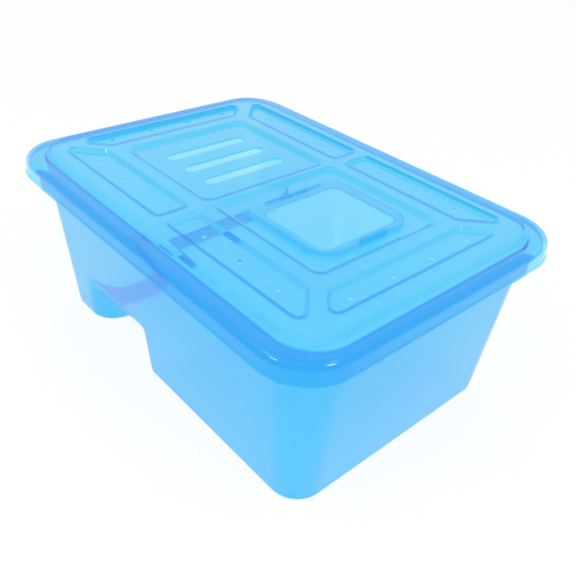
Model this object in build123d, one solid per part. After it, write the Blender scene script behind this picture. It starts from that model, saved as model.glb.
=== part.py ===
from build123d import *
import math
import os

# Turtle habitat: a stepped tub, a press-on vented lid and a hinged feeding hatch.
# Origin under the middle of the tub, on the surface that it stands on, with +Z up,
# +X along the long axis towards the deep pool and +Y across. Sizes in millimetres.

# Tub, outside sizes
BASE_LENGTH = 323.4
BASE_WIDTH = 216.4
BASE_CORNER_RADIUS = 23.0
MOUTH_LENGTH = 349.3
MOUTH_WIDTH = 240.1
MOUTH_CORNER_RADIUS = 32.4
TUB_HEIGHT = 146.7
TUB_WALL = 2.0
BASE_EDGE_RADIUS = 4.0
FLANGE_END_REACH = 6.6
FLANGE_SIDE_REACH = 10.9
FLANGE_THICKNESS = 2.0
FLANGE_SKIRT_HEIGHT = 6.0
FLANGE_SKIRT_WALL = 1.4

# Stepped floor: deep pool, raised basking platform and far pocket
PLATFORM_HEIGHT = 49.6
POOL_WALL_AT_BASE = -23.2
POOL_WALL_AT_PLATFORM = -25.7
POOL_CORNER_RADIUS = 9.0
POCKET_WALL_AT_BASE = -96.8
POCKET_WALL_AT_PLATFORM = -76.5
POCKET_CORNER_AT_BASE = 23.0
POCKET_CORNER_AT_PLATFORM = 38.0
FLOOR_PIP_RADIUS = 2.5
FLOOR_PIP_HEIGHT = 0.6
FLOOR_PIP_INSET = 12.0

# Lid: rolled rim, ledge and raised field
LID_FIT = 0.8
LID_SEAT_GAP = 0.3
LID_WALL = 1.8
LID_FLARE = 1.0
LID_CORNER_RADIUS = 39.0
RIM_DROP = 15.0
RIM_ROLL_RADIUS = 5.5
LIP_BEAD_REACH = 0.7
LIP_BEAD_HEIGHT = 1.8
FIELD_END_MARGIN = 17.3
FIELD_SIDE_MARGIN = 19.2
FIELD_CORNER_RADIUS = 25.0
FIELD_RISE = 5.2
FIELD_SLOPE = 1.6
FIELD_EDGE_RADIUS = 1.0

# Sunk trays in the field
RECESS_DEPTH = 3.3
RECESS_SLOPE = 2.6
TRAY_MARGIN = 13.3
SIDE_TRAY_BAND = 27.5
END_TRAY_BAND = 21.6
TRAY_MIDDLE_GAP = 10.8
TRAY_MITRE_SETBACK = 9.0
TRAY_CORNER_RADIUS = 5.0
WINDOW_LENGTH = 115.5
WINDOW_WIDTH = 122.0
WINDOW_MIDDLE_RIB = 6.4
WINDOW_CORNER_RADIUS = 8.0
WINDOW_SLOPE = 5.0

# Air openings in the trays
VENT_RADIUS = 1.9
SIDE_VENT_COUNT = 3
SIDE_VENT_PITCH = 39.2
SIDE_VENT_CENTRE = 73.0
SIDE_VENT_SETBACK = 13.1
END_VENT_COUNT = 4
END_VENT_PITCH = 39.4
END_VENT_SETBACK = 8.8
SLOT_COUNT = 3
SLOT_LENGTH = 79.0
SLOT_WIDTH = 10.4
SLOT_PITCH = 27.0

# Feeding hatch over its opening in the near window
HATCH_LENGTH = 85.1
HATCH_WIDTH = 94.0
HATCH_FRONT_GAP = 10.5
HATCH_FRONT_RADIUS = 20.0
HATCH_BACK_RADIUS = 4.5
HATCH_WALL = 1.6
HATCH_HEIGHT = 4.1
HATCH_LIFT = 0.3
HATCH_SLOPE = 1.0
HATCH_EDGE_RADIUS = 0.6
OPENING_MARGIN = 9.0
OPENING_BACK_SETBACK = 6.5
OPENING_CORNER_RADIUS = 8.0
OPENING_LIP_HEIGHT = 1.4
OPENING_LIP_WALL = 1.4
TAB_WIDTH = 27.0
TAB_RISE = 5.6
TAB_REACH = 2.4
TAB_LEAN = 1.2
TAB_WALL = 1.6
TAB_CORNER_RADIUS = 2.0

# Hatch hinge: a pin on the hatch in two snap knuckles on the lid
HINGE_SETBACK = 3.0
HINGE_BAR_LENGTH = 57.6
BARREL_RADIUS = 2.4
PIN_RADIUS = 1.2
PIN_CLEARANCE = 0.08
KNUCKLE_COUNT = 2
KNUCKLE_LENGTH = 14.0
KNUCKLE_GAP = 2.0
KNUCKLE_POST_WIDTH = 3.2
KNUCKLE_SNAP_WIDTH = 1.9
NOTCH_CLEARANCE = 0.4

# A cutter runs this far past the face that it cuts
OVERCUT = 5.0

# Levels and half sizes that follow from the sizes above
LID_SEAT = TUB_HEIGHT + LID_SEAT_GAP
LEDGE_TOP = LID_SEAT + LID_WALL
FIELD_TOP = LEDGE_TOP + FIELD_RISE
RECESS_FLOOR = FIELD_TOP - RECESS_DEPTH
LIP_LEVEL = LEDGE_TOP - RIM_DROP
RIM_INNER_RADIUS = RIM_ROLL_RADIUS - LID_WALL
FLANGE_EDGE_RADIUS = RIM_INNER_RADIUS - LID_FIT
RIM_OUTSET = LID_FIT + LID_WALL + LID_FLARE
LID_HALF_LENGTH = MOUTH_LENGTH / 2 + FLANGE_END_REACH + RIM_OUTSET
LID_HALF_WIDTH = MOUTH_WIDTH / 2 + FLANGE_SIDE_REACH + RIM_OUTSET
FIELD_HALF_LENGTH = LID_HALF_LENGTH - FIELD_END_MARGIN
FIELD_HALF_WIDTH = LID_HALF_WIDTH - FIELD_SIDE_MARGIN
TRAY_HALF_LENGTH = FIELD_HALF_LENGTH - TRAY_MARGIN
TRAY_HALF_WIDTH = FIELD_HALF_WIDTH - TRAY_MARGIN
WINDOW_CENTRE = (WINDOW_MIDDLE_RIB + WINDOW_LENGTH) / 2
HATCH_FRONT = WINDOW_CENTRE + WINDOW_LENGTH / 2 - HATCH_FRONT_GAP
HATCH_BOTTOM = RECESS_FLOOR + HATCH_LIFT
HATCH_TOP = HATCH_BOTTOM + HATCH_HEIGHT
HATCH_BACK = HATCH_FRONT - HATCH_LENGTH
HINGE_X = HATCH_BACK + HINGE_SETBACK
HINGE_Z = HATCH_BOTTOM + BARREL_RADIUS
KNUCKLE_PITCH = KNUCKLE_LENGTH + KNUCKLE_GAP
NOTCH_WIDTH = KNUCKLE_COUNT * KNUCKLE_PITCH - KNUCKLE_GAP + 2 * NOTCH_CLEARANCE


def outline(x_low, x_high, half_width, low_radius, high_radius, level):
    """Face of a rectangle with round corners, with a radius of its own at each end."""
    left = x_low + low_radius
    right = x_high - high_radius
    low_side = half_width - low_radius
    high_side = half_width - high_radius
    edges = [
        Line((left, -half_width), (right, -half_width)),
        CenterArc((right, -high_side), high_radius, -90, 90),
        Line((x_high, -high_side), (x_high, high_side)),
        CenterArc((right, high_side), high_radius, 0, 90),
        Line((right, half_width), (left, half_width)),
        CenterArc((left, low_side), low_radius, 90, 90),
        Line((x_low, low_side), (x_low, -low_side)),
        CenterArc((left, -low_side), low_radius, 180, 90),
    ]
    return Pos(0, 0, level) * make_face(edges)


def block(half_length, half_width, radius, level):
    """Round-cornered outline centred on the lid's middle."""
    return outline(-half_length, half_length, half_width, radius, radius, level)


def frustum(lower, upper):
    """Solid with straight sides between two outlines of the same form."""
    return loft([lower, upper], ruled=True)


def along(level, low, high):
    """Value at a level on a straight line through two (level, value) pairs."""
    return low[1] + (high[1] - low[1]) * (level - low[0]) / (high[0] - low[0])


def edges_at(solid, level):
    """Edges of a solid that lie flat at a level."""
    thin = 0.01
    return solid.edges().filter_by_position(Axis.Z, level - thin, level + thin)


# Tub

def tub_wall(level, inset):
    """Half length, half width and corner radius of the tub's wall at a level."""
    length = along(level, (0, BASE_LENGTH / 2), (TUB_HEIGHT, MOUTH_LENGTH / 2))
    width = along(level, (0, BASE_WIDTH / 2), (TUB_HEIGHT, MOUTH_WIDTH / 2))
    radius = along(level, (0, BASE_CORNER_RADIUS), (TUB_HEIGHT, MOUTH_CORNER_RADIUS))
    return length - inset, width - inset, radius - inset


def pool_outline(level, inset):
    """Deep pool under the platform's level, run out past the tub's near end."""
    wall = along(level, (0, POOL_WALL_AT_BASE), (PLATFORM_HEIGHT, POOL_WALL_AT_PLATFORM))
    radius = POOL_CORNER_RADIUS - inset
    return outline(wall + inset, MOUTH_LENGTH, tub_wall(level, inset)[1], radius, radius, level)


def pocket_outline(level, inset):
    """Far pocket under the platform's level, run out past the tub's far end."""
    wall = along(level, (0, POCKET_WALL_AT_BASE), (PLATFORM_HEIGHT, POCKET_WALL_AT_PLATFORM))
    radius = along(level, (0, POCKET_CORNER_AT_BASE), (PLATFORM_HEIGHT, POCKET_CORNER_AT_PLATFORM))
    radius = radius - inset
    return outline(-MOUTH_LENGTH, wall - inset, tub_wall(level, inset)[1], radius, radius, level)


def stepped_body(floor, platform, inset):
    """The tub's tapered block, cut away right across under the platform."""
    body = frustum(block(*tub_wall(floor, inset), floor), block(*tub_wall(TUB_HEIGHT, inset), TUB_HEIGHT))
    low = floor - OVERCUT
    high = platform + OVERCUT
    far = POCKET_WALL_AT_BASE - POCKET_CORNER_AT_BASE - OVERCUT
    near = POOL_WALL_AT_BASE + POOL_CORNER_RADIUS + OVERCUT
    arch = Pos((far + near) / 2, 0, (low + platform) / 2) * Box(
        near - far, MOUTH_WIDTH + OVERCUT, platform - low
    )
    pool = frustum(pool_outline(low, inset), pool_outline(high, inset))
    pocket = frustum(pocket_outline(low, inset), pocket_outline(high, inset))
    return body - (arch - pool - pocket)


def mouth_flange():
    """Rim of the mouth, turned down at its edge, that carries the lid."""
    bottom = TUB_HEIGHT - FLANGE_SKIRT_HEIGHT

    def ring(inset, level):
        return block(
            MOUTH_LENGTH / 2 + FLANGE_END_REACH - inset,
            MOUTH_WIDTH / 2 + FLANGE_SIDE_REACH - inset,
            MOUTH_CORNER_RADIUS + FLANGE_END_REACH - inset,
            level,
        )

    flange = extrude(ring(0, bottom), FLANGE_SKIRT_HEIGHT)
    flange = fillet(edges_at(flange, TUB_HEIGHT), FLANGE_EDGE_RADIUS)
    hollow = extrude(ring(FLANGE_SKIRT_WALL, bottom), FLANGE_SKIRT_HEIGHT - FLANGE_THICKNESS)
    return flange - hollow


def build_tub():
    outer = stepped_body(0, PLATFORM_HEIGHT - TUB_WALL, 0)
    outer = fillet(edges_at(outer, 0), BASE_EDGE_RADIUS)
    inner = stepped_body(TUB_WALL, PLATFORM_HEIGHT, TUB_WALL)
    inner = fillet(edges_at(inner, TUB_WALL), BASE_EDGE_RADIUS - TUB_WALL)
    tub = outer + mouth_flange() - inner

    # Small round pips on the pool's floor, one near each corner
    half_length, half_width, radius = tub_wall(0, FLOOR_PIP_INSET)
    for x in (POOL_WALL_AT_BASE + FLOOR_PIP_INSET, half_length):
        for y in (-half_width, half_width):
            tub = tub + Pos(x, y, TUB_WALL) * Cylinder(FLOOR_PIP_RADIUS, 2 * FLOOR_PIP_HEIGHT)
    return tub


# Lid

def side_tray(x_sign, y_sign):
    """Long tray beside a window: square at the lid's middle, mitred at its corner."""
    inner_y = TRAY_HALF_WIDTH - SIDE_TRAY_BAND
    start = TRAY_MIDDLE_GAP / 2
    end = TRAY_HALF_LENGTH - END_TRAY_BAND - TRAY_MITRE_SETBACK
    corners = [
        (start, inner_y),
        (end, inner_y),
        (end + SIDE_TRAY_BAND, TRAY_HALF_WIDTH),
        (start, TRAY_HALF_WIDTH),
    ]
    return Polygon(*[(x_sign * x, y_sign * y) for x, y in corners], align=None)


def end_tray(x_sign):
    """Tray across one end, mitred at both corners."""
    inner_x = TRAY_HALF_LENGTH - END_TRAY_BAND
    reach = TRAY_HALF_WIDTH - SIDE_TRAY_BAND - TRAY_MITRE_SETBACK
    corners = [
        (inner_x, -reach),
        (TRAY_HALF_LENGTH, -reach - END_TRAY_BAND),
        (TRAY_HALF_LENGTH, reach + END_TRAY_BAND),
        (inner_x, reach),
    ]
    return Polygon(*[(x_sign * x, y) for x, y in corners], align=None)


def tray_faces():
    """Plan of every sunk tray, with its corner radius and the run of its sloped wall."""
    faces = []
    for x_sign in (-1, 1):
        for y_sign in (-1, 1):
            faces.append((side_tray(x_sign, y_sign), TRAY_CORNER_RADIUS, RECESS_SLOPE))
        faces.append((end_tray(x_sign), TRAY_CORNER_RADIUS, RECESS_SLOPE))
        window = Pos(x_sign * WINDOW_CENTRE, 0) * Rectangle(WINDOW_LENGTH, WINDOW_WIDTH)
        faces.append((window, WINDOW_CORNER_RADIUS, WINDOW_SLOPE))
    return faces


def sunk(face, radius, slope, outset, drop):
    """Solid that sinks a tray into the field, its walls closing in towards the floor."""
    plan = fillet(face.vertices(), radius)
    if outset > 0:
        plan = offset(plan, outset, kind=Kind.ARC)
    lean = math.degrees(math.atan(slope / RECESS_DEPTH))
    top = Pos(0, 0, FIELD_TOP - drop) * plan
    return extrude(top, RECESS_DEPTH, dir=(0, 0, -1), taper=lean)


def vent_points():
    """Centres of the round air holes in the side and end trays."""
    points = []
    for side in (-1, 1):
        y = side * (TRAY_HALF_WIDTH - SIDE_VENT_SETBACK)
        for half in (-1, 1):
            for place in range(SIDE_VENT_COUNT):
                step = place - (SIDE_VENT_COUNT - 1) / 2
                points.append((half * SIDE_VENT_CENTRE + step * SIDE_VENT_PITCH, y))
        x = side * (TRAY_HALF_LENGTH - END_VENT_SETBACK)
        for place in range(END_VENT_COUNT):
            step = place - (END_VENT_COUNT - 1) / 2
            points.append((x, step * END_VENT_PITCH))
    return points


def hinge_rod(radius, length, y):
    """Round bar on the hinge axis."""
    return Pos(HINGE_X, y, HINGE_Z) * Rot(90, 0, 0) * Cylinder(radius, length)


def hatch_opening(inset, level):
    """Outline of the feeding opening under the hatch."""
    half_width = HATCH_WIDTH / 2 - OPENING_MARGIN - inset
    radius = OPENING_CORNER_RADIUS - inset
    back = HINGE_X + OPENING_BACK_SETBACK + inset
    return outline(back, HATCH_FRONT - OPENING_MARGIN - inset, half_width, radius, radius, level)


def lid_knuckles():
    """Snap knuckles that stand on the window's floor and hold the hatch's pin."""
    floor = RECESS_FLOOR - LID_WALL / 2
    knuckles = []
    for place in range(KNUCKLE_COUNT):
        y = (place - (KNUCKLE_COUNT - 1) / 2) * KNUCKLE_PITCH
        post = Pos(HINGE_X, y, (floor + HINGE_Z) / 2) * Box(KNUCKLE_POST_WIDTH, KNUCKLE_LENGTH, HINGE_Z - floor)
        bore = hinge_rod(PIN_RADIUS + PIN_CLEARANCE, KNUCKLE_LENGTH + OVERCUT, y)
        snap = Pos(HINGE_X, y, HINGE_Z + BARREL_RADIUS) * Box(
            KNUCKLE_SNAP_WIDTH, KNUCKLE_LENGTH + OVERCUT, 2 * BARREL_RADIUS
        )
        knuckles.append(post + hinge_rod(BARREL_RADIUS, KNUCKLE_LENGTH, y) - bore - snap)
    return knuckles


def build_lid():
    # Rolled rim: outside, and the hollow inside it that drops over the tub's flange
    def rim(inset, level):
        flare = along(level, (LIP_LEVEL, 0), (LEDGE_TOP, LID_FLARE))
        total = inset + flare
        return block(LID_HALF_LENGTH - total, LID_HALF_WIDTH - total, LID_CORNER_RADIUS - total, level)

    outer = frustum(rim(0, LIP_LEVEL), rim(0, LEDGE_TOP))
    outer = fillet(edges_at(outer, LEDGE_TOP), RIM_ROLL_RADIUS)
    outer = outer + extrude(rim(-LIP_BEAD_REACH, LIP_LEVEL), LIP_BEAD_HEIGHT)
    hollow = frustum(rim(LID_WALL, LIP_LEVEL - OVERCUT), rim(LID_WALL, LID_SEAT))
    hollow = fillet(edges_at(hollow, LID_SEAT), RIM_INNER_RADIUS)

    # Raised field and the hollow under it
    def field(inset, level):
        slope = along(level, (LEDGE_TOP, 0), (FIELD_TOP, FIELD_SLOPE))
        total = inset + slope - FIELD_SLOPE
        return block(FIELD_HALF_LENGTH - total, FIELD_HALF_WIDTH - total, FIELD_CORNER_RADIUS - total, level)

    raised = frustum(field(0, LEDGE_TOP - LID_WALL / 2), field(0, FIELD_TOP))
    raised = fillet(edges_at(raised, FIELD_TOP), FIELD_EDGE_RADIUS)
    under = frustum(field(LID_WALL, LID_SEAT - LID_WALL), field(LID_WALL, FIELD_TOP - LID_WALL))

    # Sunk trays: cut from above, and carried by floors of the lid's own wall below
    trays = [sunk(face, radius, slope, 0, 0) for face, radius, slope in tray_faces()]
    floors = [sunk(face, radius, slope, LID_WALL, LID_WALL) for face, radius, slope in tray_faces()]
    lid = (outer + raised) - trays - (hollow + (under - floors))

    # Air openings
    span = 2 * (FIELD_RISE + LID_WALL + OVERCUT)
    vents = [Pos(x, y, RECESS_FLOOR) * Cylinder(VENT_RADIUS, span) for x, y in vent_points()]
    slots = []
    for place in range(SLOT_COUNT):
        x = (place - (SLOT_COUNT - 1) / 2) * SLOT_PITCH - WINDOW_CENTRE
        plan = Pos(x, 0, RECESS_FLOOR - OVERCUT) * Rot(0, 0, 90) * SlotOverall(SLOT_LENGTH, SLOT_WIDTH)
        slots.append(extrude(plan, 2 * OVERCUT))
    lid = lid - vents - slots

    # Feeding opening with its upstanding lip, and the hinge knuckles
    lip = extrude(hatch_opening(-OPENING_LIP_WALL, RECESS_FLOOR - LID_WALL), LID_WALL + OPENING_LIP_HEIGHT)
    opening = extrude(hatch_opening(0, RECESS_FLOOR - OVERCUT), 2 * OVERCUT)
    lid = (lid + lip) - opening
    for knuckle in lid_knuckles():
        lid = lid + knuckle
    return lid


# Hatch

def finger_tab():
    """Upturned tab in the middle of the hatch's front edge."""
    root = HATCH_FRONT - TAB_WALL / 2
    profile = Polygon(
        (root, HATCH_BOTTOM + HATCH_LIFT),
        (HATCH_FRONT + TAB_REACH - TAB_LEAN, HATCH_BOTTOM + HATCH_LIFT),
        (HATCH_FRONT + TAB_REACH, HATCH_TOP + TAB_RISE),
        (HATCH_FRONT + TAB_REACH - TAB_WALL, HATCH_TOP + TAB_RISE),
        (root - TAB_WALL, HATCH_TOP - HATCH_WALL / 2),
        align=None,
    )
    tab = extrude(Plane.XZ * profile, TAB_WIDTH / 2, both=True)
    return fillet(tab.edges().filter_by(Axis.X).group_by(Axis.Z)[-1], TAB_CORNER_RADIUS)


def build_hatch():
    def shell(inset, level):
        return outline(
            HATCH_BACK + inset,
            HATCH_FRONT - inset,
            HATCH_WIDTH / 2 - inset,
            HATCH_BACK_RADIUS - inset,
            HATCH_FRONT_RADIUS - inset,
            level,
        )

    cap = frustum(shell(0, HATCH_BOTTOM), shell(HATCH_SLOPE, HATCH_TOP))
    cap = fillet(edges_at(cap, HATCH_TOP), HATCH_EDGE_RADIUS)
    hollow = frustum(
        shell(HATCH_WALL, HATCH_BOTTOM - HATCH_LIFT),
        shell(HATCH_WALL + HATCH_SLOPE, HATCH_TOP - HATCH_WALL),
    )

    # Only the top plate runs back past the hinge axis, and swings clear of the window's floor
    plate_underside = HATCH_TOP - HATCH_WALL
    tail_start = HATCH_BACK - OVERCUT
    tail_bottom = HATCH_BOTTOM - OVERCUT
    tail = Pos((tail_start + HINGE_X) / 2, 0, (tail_bottom + plate_underside) / 2) * Box(
        HINGE_X - tail_start, HATCH_WIDTH + OVERCUT, plate_underside - tail_bottom
    )
    hatch = cap - hollow - tail + hinge_rod(BARREL_RADIUS, HINGE_BAR_LENGTH, 0)

    # Notch round the lid's knuckles, crossed by the pin
    notch_end = HINGE_X + BARREL_RADIUS + NOTCH_CLEARANCE
    notch_start = HINGE_X - BARREL_RADIUS - OVERCUT
    notch = Pos((notch_start + notch_end) / 2, 0, HINGE_Z) * Box(
        notch_end - notch_start, NOTCH_WIDTH, 2 * (BARREL_RADIUS + OVERCUT)
    )
    hatch = hatch - notch + hinge_rod(PIN_RADIUS, NOTCH_WIDTH + BARREL_RADIUS, 0)
    return hatch + finger_tab()


os.makedirs("parts", exist_ok=True)
export_step(build_tub(), "parts/tub.step")
export_step(build_lid(), "parts/lid.step")
export_step(build_hatch(), "parts/feeding_hatch.step")
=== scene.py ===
import math

import bpy
from mathutils import Matrix, Vector

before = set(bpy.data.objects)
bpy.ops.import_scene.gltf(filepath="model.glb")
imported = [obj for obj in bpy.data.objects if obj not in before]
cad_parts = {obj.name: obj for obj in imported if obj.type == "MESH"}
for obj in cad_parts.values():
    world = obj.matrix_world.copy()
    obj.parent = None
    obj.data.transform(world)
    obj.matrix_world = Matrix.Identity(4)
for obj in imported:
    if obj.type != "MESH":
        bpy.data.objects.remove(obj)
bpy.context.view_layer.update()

# Camera at the photograph's place. Lengths are metres and angles degrees.
CAMERA_TARGET = Vector((0.11465, -0.08338, 0.1507))
CAMERA_DISTANCE = 0.41410
CAMERA_AZIMUTH = 46.4334
CAMERA_ELEVATION = 34.6959
CAMERA_ROLL = 4.1427
CAMERA_LENS = 41.884
CAMERA_SENSOR = 36.0
CAMERA_NEAR_LIMIT = 0.01

# Floor and surrounding light
FLOOR_SIZE = 8.0
FLOOR_DROP = 0.0004
FLOOR_WHITE = (0.93, 0.94, 0.95, 1.0)
FLOOR_SHADOW_SHARE = 0.12
WORLD_STRENGTH = 0.85
WHITE = (1.0, 1.0, 1.0, 1.0)

# Two soft boxes, both turned to the middle of the tub
BOX_TARGET = (0, 0, 0.1)
BOX_POWER = 5.0
LEFT_BOX_PLACE = (-0.12, -1.10, 1.05)
LEFT_BOX_SIZE = 0.30
RIGHT_BOX_PLACE = (1.10, 0.02, 1.02)
RIGHT_BOX_SIZE = 0.25

# Light paths long enough for a lid, a hatch and both walls of the tub
MOST_BOUNCES = 32
MOST_REFRACTIONS = 28

# Clear blue plastic: a thin dye at its skin, and a dye that deepens with the thickness crossed
CLEAR_SKIN = (0.80, 0.975, 1.0, 1.0)
RUBBED_SKIN = (0.86, 0.98, 1.0, 1.0)
PLASTIC_TINT = (0.10, 0.80, 0.98, 1.0)
PLASTIC_IOR = 1.12
GLOSS_IOR = 1.35
GLOSS_ROUGHNESS = 0.05

# Painted shade: the lid's rim skin is coloured deeper blue than its field, for a darker rim side, fading out
# between these two levels
RIM_PAINTED_SHADE = (0.42, 0.91, 1.0, 1.0)
RIM_SHADE_LOW = 0.1462
RIM_SHADE_HIGH = 0.1488

# Finish of each moulding
TUB_FINISH = {
    "wave_height": 0.00030,
    "clean_roughness": 0.18,
    "rubbed_roughness": 0.30,
    "dye_density": 460.0,
    "lamp_light": (0.66, 0.94, 0.995, 1.0),
}
LID_FINISH = {
    "wave_height": 0.00012,
    "clean_roughness": 0.10,
    "rubbed_roughness": 0.20,
    "dye_density": 380.0,
    "lamp_light": (0.80, 0.97, 0.998, 1.0),
}
HATCH_FINISH = {
    "wave_height": 0.00010,
    "clean_roughness": 0.05,
    "rubbed_roughness": 0.14,
    "dye_density": 200.0,
    "lamp_light": LID_FINISH["lamp_light"],
}

# Waves and orange peel of a moulded wall
WAVE_DETAIL = 1.0
WAVE_ROUGHNESS = 0.4
WAVE_DISTORTION = 0.6
PEEL_DETAIL = 2.0

# Rubbed patches and hairline scuffs
PATCH_DETAIL = 4.0
PATCH_START = 0.42
PATCH_FULL = 0.72
PATCH_SHARE = 0.5
SCUFF_DETAIL = 3.0
SCUFF_ROUGHNESS = 0.7
SCUFF_STRETCH = (1.0, 0.12, 1.0)
SCUFF_TURN = (0, 0, 0.5)
SCUFF_START = 0.60
SCUFF_FULL = 0.78

NODE_SPACING = 190


class Nodes:
    """A node tree that is filled node by node."""

    def __init__(self, tree):
        self.tree = tree
        self.column = 0

    def add(self, kind, inputs=None, **settings):
        node = self.tree.nodes.new(kind)
        node.location = (self.column * NODE_SPACING, 0)
        self.column += 1
        for name, value in settings.items():
            setattr(node, name, value)
        for name, value in (inputs or {}).items():
            socket = node.inputs[name]
            if isinstance(value, bpy.types.NodeSocket):
                self.tree.links.new(value, socket)
            else:
                socket.default_value = value
        return node

    def math(self, operation, first, second, use_clamp=False):
        return self.add(
            "ShaderNodeMath", {0: first, 1: second}, operation=operation, use_clamp=use_clamp
        ).outputs[0]

    def blend(self, factor, first, second):
        return self.add("ShaderNodeMix", {0: factor, 6: first, 7: second}, data_type="RGBA").outputs[2]


def node_group(name, inputs, outputs):
    """Empty shader group with named float inputs and outputs."""
    tree = bpy.data.node_groups.new(name, "ShaderNodeTree")
    for label, default in inputs.items():
        socket = tree.interface.new_socket(label, in_out="INPUT", socket_type="NodeSocketFloat")
        socket.default_value = default
    for label, kind in outputs.items():
        tree.interface.new_socket(label, in_out="OUTPUT", socket_type=kind)
    nodes = Nodes(tree)
    return nodes, nodes.add("NodeGroupInput").outputs, nodes.add("NodeGroupOutput").inputs


def moulding_flow():
    """Slow waves and fine orange peel that a moulded wall has, as a height in metres."""
    nodes, given, out = node_group(
        "moulding_flow",
        {"Wave Height": 0.0002, "Wave Scale": 14.0, "Peel Height": 0.0000006, "Peel Scale": 900.0},
        {"Height": "NodeSocketFloat"},
    )
    place = nodes.add("ShaderNodeTexCoord").outputs["Object"]
    waves = nodes.add(
        "ShaderNodeTexNoise",
        {
            "Vector": place,
            "Scale": given["Wave Scale"],
            "Detail": WAVE_DETAIL,
            "Roughness": WAVE_ROUGHNESS,
            "Distortion": WAVE_DISTORTION,
        },
    )
    peel = nodes.add(
        "ShaderNodeTexNoise", {"Vector": place, "Scale": given["Peel Scale"], "Detail": PEEL_DETAIL}
    )
    slow = nodes.math("MULTIPLY", waves.outputs["Fac"], given["Wave Height"])
    fine = nodes.math("MULTIPLY", peel.outputs["Fac"], given["Peel Height"])
    height = nodes.math("ADD", slow, fine)
    nodes.tree.links.new(height, out["Height"])
    return nodes.tree


def handling_haze():
    """Faint rubbed patches and hairline scuffs on the plastic's skin, from 0, clean, to 1."""
    nodes, given, out = node_group(
        "handling_haze",
        {"Patch Scale": 22.0, "Scuff Scale": 160.0, "Amount": 1.0},
        {"Haze": "NodeSocketFloat"},
    )
    place = nodes.add("ShaderNodeTexCoord").outputs["Object"]
    patches = nodes.add(
        "ShaderNodeTexNoise", {"Vector": place, "Scale": given["Patch Scale"], "Detail": PATCH_DETAIL}
    )
    stretched = nodes.add(
        "ShaderNodeMapping", {"Vector": place, "Scale": SCUFF_STRETCH, "Rotation": SCUFF_TURN}
    )
    scuffs = nodes.add(
        "ShaderNodeTexNoise",
        {
            "Vector": stretched.outputs[0],
            "Scale": given["Scuff Scale"],
            "Detail": SCUFF_DETAIL,
            "Roughness": SCUFF_ROUGHNESS,
        },
    )
    soft = nodes.add(
        "ShaderNodeMapRange",
        {"Value": patches.outputs["Fac"], "From Min": PATCH_START, "From Max": PATCH_FULL},
    )
    hair = nodes.add(
        "ShaderNodeMapRange",
        {"Value": scuffs.outputs["Fac"], "From Min": SCUFF_START, "From Max": SCUFF_FULL},
    )
    scuffed = nodes.math("MULTIPLY", soft.outputs[0], hair.outputs[0])
    rubbed = nodes.math("MULTIPLY", soft.outputs[0], PATCH_SHARE)
    total = nodes.math("ADD", rubbed, scuffed, use_clamp=True)
    haze = nodes.math("MULTIPLY", total, given["Amount"])
    nodes.tree.links.new(haze, out["Haze"])
    return nodes.tree


def painted_rim_shade(nodes, colour):
    """The lid's skin colour with painted shade, a deeper blue, on its rim."""
    place = nodes.add("ShaderNodeTexCoord").outputs["Object"]
    level = nodes.add("ShaderNodeSeparateXYZ", {0: place}).outputs["Z"]
    shaded_rim = nodes.add(
        "ShaderNodeMapRange", {"Value": level, "From Min": RIM_SHADE_HIGH, "From Max": RIM_SHADE_LOW}
    )
    # Painted shade: deeper blue skin below the rim level
    return nodes.blend(shaded_rim.outputs[0], colour, RIM_PAINTED_SHADE)


def clear_plastic(name, flow, haze, finish, with_rim_shade=False):
    """Tinted clear plastic that deepens with the length of wall that light crosses."""
    material = bpy.data.materials.new(name)
    material.use_nodes = True
    nodes = Nodes(material.node_tree)
    material.node_tree.nodes.clear()
    height = nodes.add("ShaderNodeGroup", node_tree=flow)
    height.inputs["Wave Height"].default_value = finish["wave_height"]
    bump = nodes.add("ShaderNodeBump", {"Height": height.outputs["Height"], "Strength": 1.0, "Distance": 1.0})
    rubbed = nodes.add("ShaderNodeGroup", node_tree=haze)
    rough = nodes.add(
        "ShaderNodeMapRange",
        {
            "Value": rubbed.outputs["Haze"],
            "To Min": finish["clean_roughness"],
            "To Max": finish["rubbed_roughness"],
        },
    )
    colour = nodes.blend(rubbed.outputs["Haze"], CLEAR_SKIN, RUBBED_SKIN)
    # Painted shade on the lid's rim
    if with_rim_shade:
        colour = painted_rim_shade(nodes, colour)
    plastic = nodes.add(
        "ShaderNodeBsdfPrincipled",
        {
            "Base Color": colour,
            "Roughness": rough.outputs[0],
            "IOR": PLASTIC_IOR,
            "Transmission Weight": 1.0,
            "Coat Weight": 1.0,
            "Coat Roughness": GLOSS_ROUGHNESS,
            "Coat IOR": GLOSS_IOR,
            "Normal": bump.outputs["Normal"],
        },
    )
    # Light bends where it enters a wall and leaves it unbent. With bending both ways, the trays'
    # edges render as black lines.
    leaving = nodes.add("ShaderNodeNewGeometry").outputs["Backfacing"]
    way_out = nodes.add("ShaderNodeBsdfTransparent", {"Color": WHITE})
    both_ways = nodes.add("ShaderNodeMixShader", {0: leaving, 1: plastic.outputs[0], 2: way_out.outputs[0]})
    for_shadows = nodes.add("ShaderNodeLightPath").outputs["Is Shadow Ray"]
    let_through = nodes.add("ShaderNodeBsdfTransparent", {"Color": finish["lamp_light"]})
    surface = nodes.add(
        "ShaderNodeMixShader", {0: for_shadows, 1: both_ways.outputs[0], 2: let_through.outputs[0]}
    )
    inside = nodes.add(
        "ShaderNodeVolumeAbsorption", {"Color": PLASTIC_TINT, "Density": finish["dye_density"]}
    )
    nodes.add("ShaderNodeOutputMaterial", {"Surface": surface.outputs[0], "Volume": inside.outputs[0]})
    return material


def shows_background(nodes):
    """1 for rays from the camera, off a shiny skin or through clear plastic, else 0."""
    path = nodes.add("ShaderNodeLightPath")
    seen_or_mirrored = nodes.math("ADD", path.outputs["Is Camera Ray"], path.outputs["Is Glossy Ray"])
    return nodes.math("ADD", seen_or_mirrored, path.outputs["Is Transmission Ray"], use_clamp=True)


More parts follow.
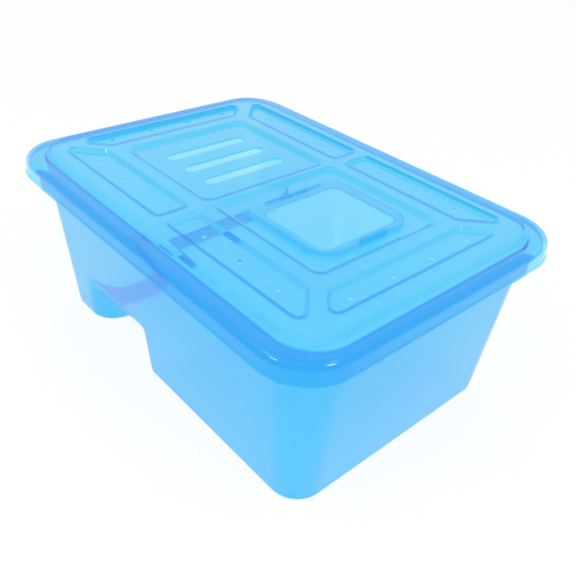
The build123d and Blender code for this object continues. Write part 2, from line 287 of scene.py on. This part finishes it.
def make_floor():
    half = FLOOR_SIZE / 2
    corners = [(-half, -half), (half, -half), (half, half), (-half, half)]
    mesh = bpy.data.meshes.new("studio_floor")
    mesh.from_pydata([(x, y, -FLOOR_DROP) for x, y in corners], [], [(0, 1, 2, 3)])
    floor = bpy.data.objects.new("studio_floor", mesh)
    bpy.context.scene.collection.objects.link(floor)
    material = bpy.data.materials.new("white_paper")
    material.use_nodes = True
    material.node_tree.nodes.clear()
    nodes = Nodes(material.node_tree)
    paper = nodes.add("ShaderNodeBsdfDiffuse", {"Color": FLOOR_WHITE})
    white = nodes.add("ShaderNodeEmission", {"Color": WHITE, "Strength": 1.0})
    share = nodes.math("MULTIPLY", shows_background(nodes), 1.0 - FLOOR_SHADOW_SHARE)
    shown = nodes.add("ShaderNodeMixShader", {0: share, 1: paper.outputs[0], 2: white.outputs[0]})
    nodes.add("ShaderNodeOutputMaterial", {"Surface": shown.outputs[0]})
    mesh.materials.append(material)


def make_world():
    world = bpy.data.worlds.new("white_studio")
    world.use_nodes = True
    world.node_tree.nodes.clear()
    nodes = Nodes(world.node_tree)
    lit = nodes.add(
        "ShaderNodeMapRange", {"Value": shows_background(nodes), "To Min": WORLD_STRENGTH, "To Max": 1.0}
    )
    sky = nodes.add("ShaderNodeBackground", {"Color": WHITE, "Strength": lit.outputs[0]})
    nodes.add("ShaderNodeOutputWorld", {"Surface": sky.outputs[0]})
    bpy.context.scene.world = world


def make_soft_box(name, place, size):
    """Square soft box at a place, turned to the tub."""
    lamp = bpy.data.lights.new(name, "AREA")
    lamp.shape = "SQUARE"
    lamp.size = size
    lamp.energy = BOX_POWER
    holder = bpy.data.objects.new(name, lamp)
    holder.location = place
    holder.rotation_euler = (Vector(BOX_TARGET) - Vector(place)).to_track_quat("-Z", "Y").to_euler()
    bpy.context.scene.collection.objects.link(holder)


def make_camera():
    azimuth = math.radians(CAMERA_AZIMUTH)
    elevation = math.radians(CAMERA_ELEVATION)
    roll = math.radians(CAMERA_ROLL)
    level = math.cos(elevation)
    back = Vector((math.sin(azimuth) * level, -math.cos(azimuth) * level, math.sin(elevation)))
    right = Vector((math.cos(azimuth), math.sin(azimuth), 0.0))
    up = back.cross(right)
    turned_right = right * math.cos(roll) + up * math.sin(roll)
    turned_up = up * math.cos(roll) - right * math.sin(roll)
    data = bpy.data.cameras.new("camera")
    data.lens = CAMERA_LENS
    data.sensor_width = CAMERA_SENSOR
    data.clip_start = CAMERA_NEAR_LIMIT
    camera = bpy.data.objects.new("camera", data)
    bpy.context.scene.collection.objects.link(camera)
    turn = Matrix((turned_right, turned_up, back)).transposed().to_4x4()
    camera.matrix_world = Matrix.Translation(CAMERA_TARGET + back * CAMERA_DISTANCE) @ turn
    bpy.context.scene.camera = camera


def dress(node, material):
    """Gives a CAD node its finish."""
    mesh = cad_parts[node].data
    mesh.materials.clear()
    mesh.materials.append(material)


make_camera()
make_world()
make_floor()
make_soft_box("left_soft_box", LEFT_BOX_PLACE, LEFT_BOX_SIZE)
make_soft_box("right_soft_box", RIGHT_BOX_PLACE, RIGHT_BOX_SIZE)

FLOW = moulding_flow()
HAZE = handling_haze()
dress("tub", clear_plastic("clear_blue_tub", FLOW, HAZE, TUB_FINISH))
dress("lid", clear_plastic("clear_blue_lid", FLOW, HAZE, LID_FINISH, with_rim_shade=True))
dress("feeding_hatch", clear_plastic("clear_blue_hatch", FLOW, HAZE, HATCH_FINISH))

scene = bpy.context.scene
scene.view_settings.view_transform = "Standard"
scene.cycles.max_bounces = MOST_BOUNCES
scene.cycles.transmission_bounces = MOST_REFRACTIONS
scene.cycles.transparent_max_bounces = MOST_BOUNCES
